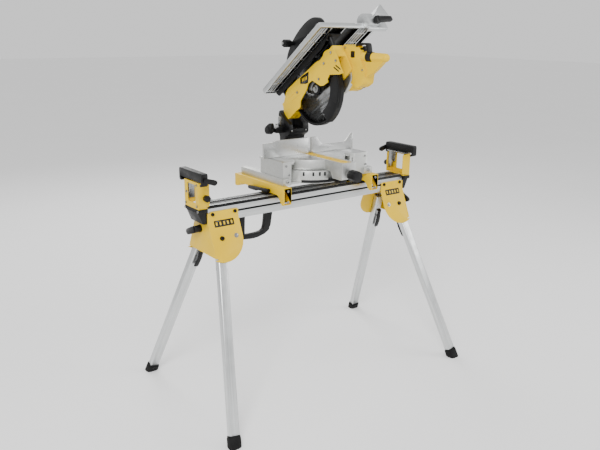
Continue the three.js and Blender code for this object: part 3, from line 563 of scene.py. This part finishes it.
for side in ("left", "right"):
    dress(f"saw_bracket_{side}", bevel_mm=1.2)
    dress(f"bracket_lever_{side}", bevel_mm=2)
dress("saw_base", choose=machined_on_top, extra=("machined",), bevel_mm=1.5)
dress("turntable", choose=machined_on_top, extra=("machined",), bevel_mm=1.2)
dress("fence", choose=lambda centre, normal: int(normal.y < -0.9), extra=("machined",), bevel_mm=1.2)
dress("kerf_plate", bevel_mm=0.5)
dress("mitre_knob", bevel_mm=1.5)
dress("mitre_latch", bevel_mm=1.5)
dress("bevel_arm", bevel_mm=2.5, segments=3)
dress("bevel_clamp", bevel_mm=1.5)
print("base dressed")

# %% [markdown]
# ## The head, the blade and its guards
#
# The head hinges at the back. On its left a yellow cheek covers the blade; on its right sit the gear
# case, the motor and the handle. Two black guards ride inside the cheek and swing back as the head
# comes down. Parts that turn with the blade are built round the blade's own axis.

# %% Dress the head
def black_if(test):
    return lambda centre, normal: int(test(centre, normal))


def on_grip_panel(centre, normal):
    """The soft panel along the top of the handle's grip."""
    above = centre.z > -34 and centre.z > (centre.y + 262) * 0.74 - 6
    return int(above and centre.y < -258 and abs(centre.x - 45.5) < 11)


dress("upper_guard", place=HEAD, bevel_mm=1.2)
dress("gear_case", place=HEAD, bevel_mm=1.5)
dress("motor_housing", place=HEAD, bevel_mm=1.2)
dress("motor_end_cap", place=HEAD, bevel_mm=1.5)
dress("main_handle", place=HEAD, bevel_mm=2.5, segments=3, extra=("black",),
      choose=on_grip_panel)
dress("trigger", place=HEAD, bevel_mm=1)
dress("riving_knife", place=HEAD, bevel_mm=0.3)
dress("blade", "blade", place=HEAD, bevel_mm=0)
dress("spindle", place=HEAD, bevel_mm=0.8, extra=("black",),
      choose=black_if(lambda c, n: -9 < c.x < -1.6))
dress("front_guard", place=HEAD, bevel_mm=1.2)
TABLE_UNDER, TABLE_TOP = 118, 138


def pocket_painted_shade(centre, normal):
    """The rough-cast hollows under the table, between its ribs, painted black as painted shade."""
    roof = normal.z < -0.5 and centre.z > TABLE_UNDER + 2
    inside = abs(centre.x - 53) < 138 and abs(centre.y + 8) < 228
    wall = inside and abs(normal.z) < 0.5 and centre.z < TABLE_TOP - 6
    return int(roof or wall)


# The roofs and walls of the hollows under the table take the black finish as painted shade.
dress("saw_table", place=HEAD, bevel_mm=0.6, extra=("black",), choose=pocket_painted_shade)
dress("table_cover", place=HEAD, bevel_mm=1)
dress("rip_fence", place=HEAD, bevel_mm=1)
dress("rip_clamp_lever", place=HEAD, bevel_mm=2.5, segments=3)
dress("table_guard", place=HEAD, bevel_mm=1.5)


def guard_arc(inner, outer, first, last, low, high, steps=20):
    """An arc across the blade's axis; angles run down from the front, in degrees."""
    angles = [math.pi + math.radians(first + (last - first) * k / steps) for k in range(steps + 1)]
    points = [(outer * math.cos(a), outer * math.sin(a)) for a in angles]
    points += [(inner * math.cos(a), inner * math.sin(a)) for a in reversed(angles)]
    return stamped(points, "x", low, high)


dress("lower_guard", place=HEAD, bevel_mm=0.6)
front_rib = [guard_arc(100, 146, 10, 54, -15.2, -13.9), guard_arc(146.2, 151.2, 12, 60, -6, 6)]
build("front_guard_ribs", front_rib, "black", "front_guard", HEAD, 0.5)
UNDER_RIBS = [slab((x - 1.5, x + 1.5), (-232, 214), (118.4, 129)) for x in (-74, -63, -50, 122, 136, 150)]
CROSS_RIBS = [slab((x0, x1), (y - 1.5, y + 1.5), (118.4, 129)) for y in range(-200, 220, 58)
              for x0, x1 in ((-82, -33), (111, 161))]
build("table_under_ribs", UNDER_RIBS + CROSS_RIBS, "aluminium", "saw_table", HEAD, 0)
print("head dressed")

# %% [markdown]
# ## Screws, vents and labels of the head
#
# The cheek that covers the blade is held by cap screws and carries a printed label. Two slots let dust
# out at its front. The motor's shell is two mouldings pulled together by long screws, and its end cap
# breathes through slots. The switch box has a window for the safety button.

# %% Fittings on the head
def rotated(points, centre, degrees):
    c, s = math.cos(math.radians(degrees)), math.sin(math.radians(degrees))
    return [(centre[0] + a * c - b * s, centre[1] + a * s + b * c) for a, b in points]


CHEEK = -26  # the outer face of the cheek, seen from the blade's plane
build("cheek_screws", [cap_screw((CHEEK, y, z), (-1, 0, 0), 5) for y, z in
                       ((-177, 50), (-185, 9), (-120, 40), (-60, 8), (90, 40))],
      "steel", "head", HEAD)
patch = [(-20, 68), (30, 77), (42, 76), (54, 58), (22, 38), (8, 34), (-4, 46)]
build("cheek_label", [stamped(patch, "x", CHEEK - 0.6, CHEEK + 0.05)], "label", "head", HEAD, 0)
bars = []
for k in range(4):
    bar = rotated(rounded((-2.4, 2.4), (-7, 7), 1), (6 + 9 * k, 55 + 2.6 * k), 30)
    bars.append(stamped(bar, "x", CHEEK - 0.8, CHEEK - 0.5))
build("cheek_label_bars", bars, "yellow_plastic", "head", HEAD, 0)
# The dust slots are thin black sheets on the cheek: painted shade, the shade inside each opening.
slots = []
for gap in (-7, 6):
    opening = rotated(rounded((-17, 17), (-2.6, 2.6), 2.5), (-174 + gap, -18), 61)
    slots.append(stamped(opening, "x", CHEEK - 0.3, CHEEK + 0.05))
build("cheek_dust_slot_shade", slots, "black", "head", HEAD, 0)
ribs = []
for gap in (-10, 10):
    rib = rotated(rounded((-44, 44), (-1.6, 1.6), 1.5), (112, 40 + gap), 4)
    ribs.append(stamped(rib, "x", CHEEK - 1.4, CHEEK + 0.05))
build("cheek_ribs", ribs, "yellow_casting", "head", HEAD, 0.5)

MOTOR_Y, MOTOR_Z, MOTOR_R = -125, -25, 57
around = [2 * math.pi * k / 24 for k in range(24)]
vents = []
for a in around[::2]:
    middle = (MOTOR_Y + 48 * math.cos(a), MOTOR_Z + 48 * math.sin(a))
    vent = rotated(rounded((-7, 7), (-2.1, 2.1), 2), middle, math.degrees(a))
    vents.append(stamped(vent, "x", 117.2, 124.5))
build("motor_cap_vents", vents, "label", "head", HEAD, 0.3)
seam_heads = []
for a in around[2::6]:
    start = (107, MOTOR_Y + 55.5 * math.cos(a), MOTOR_Z + 55.5 * math.sin(a))
    seam_heads.append(cap_screw(start, (0, math.cos(a), math.sin(a)), 3.2))
build("motor_seam_screws", seam_heads, "steel", "head", HEAD)
hoop = [(0, MOTOR_R + 0.9), (2.6, MOTOR_R + 0.9)]
build("motor_shell_ribs",
      [turned(hoop, (x, MOTOR_Y, MOTOR_Z), (1, 0, 0), 48) for x in (52, 94)],
      "yellow_plastic", "head", HEAD, 0.5)
window = rotated(rounded((-11, 11), (-12, 12), 3), (-226, 8), 36)
build("switch_window", [stamped(window, "x", 26.2, 27.1)], "label", "head", HEAD, 0.2)
rocker = rotated(rounded((-7, 7), (-8, 8), 3), (-226, 8), 36)
build("switch_button", [stamped(rocker, "x", 24.6, 26.6)], "black", "head", HEAD, 0.6)
build("switch_box_screws",
      [cap_screw((27, y, z), (-1, 0, 0), 4) for y, z in ((-176, 22), (-240, -70), (-205, 52))],
      "steel", "head", HEAD)
build("gear_case_bolts",
      [cap_screw((26.3, y, z), (-1, 0, 0), 4.5) for y, z in ((-160, 40), (-60, 52))], "steel", "head", HEAD)
build("grip_sleeve",
      [turned([(0, 18.9), (2, 19.6), (26, 18.6), (28, 17.9)], (45, -276, -37.2), (0, -100, -74), 24)],
      "black", "head", HEAD, 0.4)
build("blade_bolt_washer",
      [turned([(0, 15), (1.4, 15), (2, 14)], (-8, 0, 0), (-1, 0, 0), 28)],
      "steel", "blade", HEAD)
build("table_clamp_knob_stud", [turned([(0, 5), (5, 5), (6, 4)], (-60, 18, 227), (-1, 0, 0), 16)],
      "steel", "table_guard", HEAD, 0.3)
print("head fitted out")

# %% [markdown]
# ## Scale, bolts and spring of the base
#
# The mitre scale is a thin stamped arc round the turntable with a tick every five degrees. Its lettering
# is left out. Behind the fence, a spring under a bolt takes the slack out of the bevel stop.

# %% Fittings on the base
def arc_strip(inner, outer, first, last, low, high, steps=40):
    angles = [math.radians(first + (last - first) * k / steps) for k in range(steps + 1)]
    points = [(outer * math.cos(a), outer * math.sin(a)) for a in angles]
    points += [(inner * math.cos(a), inner * math.sin(a)) for a in reversed(angles)]
    return stamped(points, "z", low, high)


build("mitre_scale", [arc_strip(151.2, 164, 222, 318, 49.9, 51)], "machined", "saw_base", SAW, 0.2)
ticks = []
for degrees in range(225, 316, 5):
    reach = 155 if degrees % 15 == 0 else 158
    across = rotated([(reach, -0.8), (163.4, -0.8), (163.4, 0.8), (reach, 0.8)], (0, 0), degrees)
    ticks.append(stamped(across, "z", 50.9, 51.3))
build("mitre_scale_ticks", ticks, "label", "saw_base", SAW, 0)
# Dark strips stand for the mitre detent notches: their dark colour is painted shade, the shade inside each notch.
detent_shade = [stamped(rotated(rounded((164.2, 165.9), (-4, 4), 0.8), (0, 0), 270 + d), "z", 30, 46)
           for d in (-45, -31.6, -22.5, -15, 0, 15, 22.5, 31.6, 45)]
build("mitre_detent_shade", detent_shade, "label", "saw_base", SAW, 0)
build("base_shadow_strip", [arc_strip(164.5, 165.7, 222, 318, 2, 13)], "black", "saw_base", SAW, 0)
base_heads = [cap_screw((x, -118, z), (0, -1, 0), 6) for x, z in ((-197, 15), (230, 15))]
base_heads += [cap_screw((x, -107, z), (0, -1, 0), 4.5)
               for x, z in ((-196, 76), (-182, 40), (222, 40), (216, 76))]
build("base_bolts", base_heads, "steel", "saw_base", SAW)
fence_heads = [cap_screw((x, 17, 99.3), (0, 0, 1), 5.5) for x in (-190, -60, 60, 190)]
build("fence_bolts", fence_heads, "steel", "saw_base", SAW)
kerf_heads = [turned([(0, 3.2), (0.5, 3.2), (0.6, 1.4), (0.3, 1.2)], (x, y, 92), (0, 0, 1), 16)
              for x in (-14, 14) for y in (-232, -150, -60, 20)]
build("kerf_plate_screws", kerf_heads, "steel", "turntable", SAW, 0)
collar = turned([(0, 12), (5, 12), (6, 10.5), (11, 10.5)], (0, -255.2, 46), (0, -1, 0), 24)
build("mitre_knob_collar", [collar], "steel", "turntable", SAW)
stop_bolt = [turned([(0, 4), (34, 4), (35, 3)], (-60, 129, 200), (0, 0, 1), 16),
             turned([(0, 8), (5, 8), (6, 7)], (-60, 129, 200), (0, 0, 1), 6),
             turned([(0, 7.5), (5, 7.5), (6, 6.5)], (-60, 129, 228), (0, 0, 1), 6)]
build("bevel_stop_bolt", stop_bolt, "steel", "bevel_arm", SAW)
build("bevel_stop_spring", [coil((-60, 129, 206), (0, 0, 1), 7, 1.1, 22, 6)], "steel", "bevel_arm", SAW, 0)
build("bevel_column_screws", [cap_screw((x, 78, z), (0, -1, 0), 4) for x, z in ((-34, 178), (40, 178))],
      "steel", "bevel_arm", SAW)
for side, x in (("left", -178), ("right", 281)):
    heads = [cap_screw((x, -100, z), (0, -1, 0), 5) for z in (790, 834)]
    build(f"bracket_bolts_{side}", heads, "steel", "saw_base", WORLD)
print("base fitted out")

# %% [markdown]
# ## Floor, light and camera
#
# The finished model stands on a plain pale floor under large soft lamps, as in a small product studio.
# The lens is given as a focal length, and the camera looks along the line from its place to a point
# near the middle of the machine.

# %% Studio
def lamp(name, place, target, size, power):
    light = bpy.data.lights.new(name, "AREA")
    light.shape = "SQUARE"
    light.size = size
    light.energy = power
    made = bpy.data.objects.new(name, light)
    bpy.context.scene.collection.objects.link(made)
    made.location = place
    made.rotation_euler = (Vector(target) - Vector(place)).to_track_quat("-Z", "Y").to_euler()
    return made


floor_material, floor_tree, floor_shader = surface("studio_floor_white", 0.0, 0.8)
floor_shade = tint(floor_tree, noise(floor_tree, 900), linear("#F4F4F4"), linear("#F8F8F8"))
floor_tree.links.new(floor_shade, floor_shader.inputs["Base Color"])
floor_mesh = bpy.data.meshes.new("studio_floor")
floor_shape = bmesh.new()
bmesh.ops.create_grid(floor_shape, x_segments=2, y_segments=2, size=30)
floor_shape.to_mesh(floor_mesh)
floor_shape.free()
floor_mesh.materials.append(floor_material)
floor = bpy.data.objects.new("studio_floor", floor_mesh)
bpy.context.scene.collection.objects.link(floor)

world = bpy.data.worlds.new("studio_walls")
world.use_nodes = True
world.node_tree.nodes["Background"].inputs["Color"].default_value = linear("#FFFFFF")
world.node_tree.nodes["Background"].inputs["Strength"].default_value = 0.95
bpy.context.scene.world = world
CENTRE = (0, 0, 0.9)
lamp("key_lamp", (-2.6, -2.4, 3.4), CENTRE, 1.6, 150)
lamp("fill_lamp", (2.8, -2.2, 2.2), CENTRE, 2.0, 45)
lamp("rim_lamp", (0.6, 3.2, 3.0), CENTRE, 2.0, 70)

SENSOR_MM, LENS_MM = 36, 39.7176
camera_data = bpy.data.cameras.new("camera")
camera_data.sensor_width = SENSOR_MM
camera_data.lens = LENS_MM
camera = bpy.data.objects.new("camera", camera_data)
bpy.context.scene.collection.objects.link(camera)
eye, aim = Vector((-1.64374, -2.11035, 1.43632)), Vector((-0.04123, 0, 0.65106))
gaze = (aim - eye).to_track_quat("-Z", "Y").to_matrix().to_4x4()
camera.matrix_world = Matrix.Translation(eye) @ gaze @ turn(math.radians(0.69), "Z")
bpy.context.scene.camera = camera
print("camera", round(camera_data.lens, 2), "mm lens")

# %% Update the scene
bpy.context.view_layer.update()
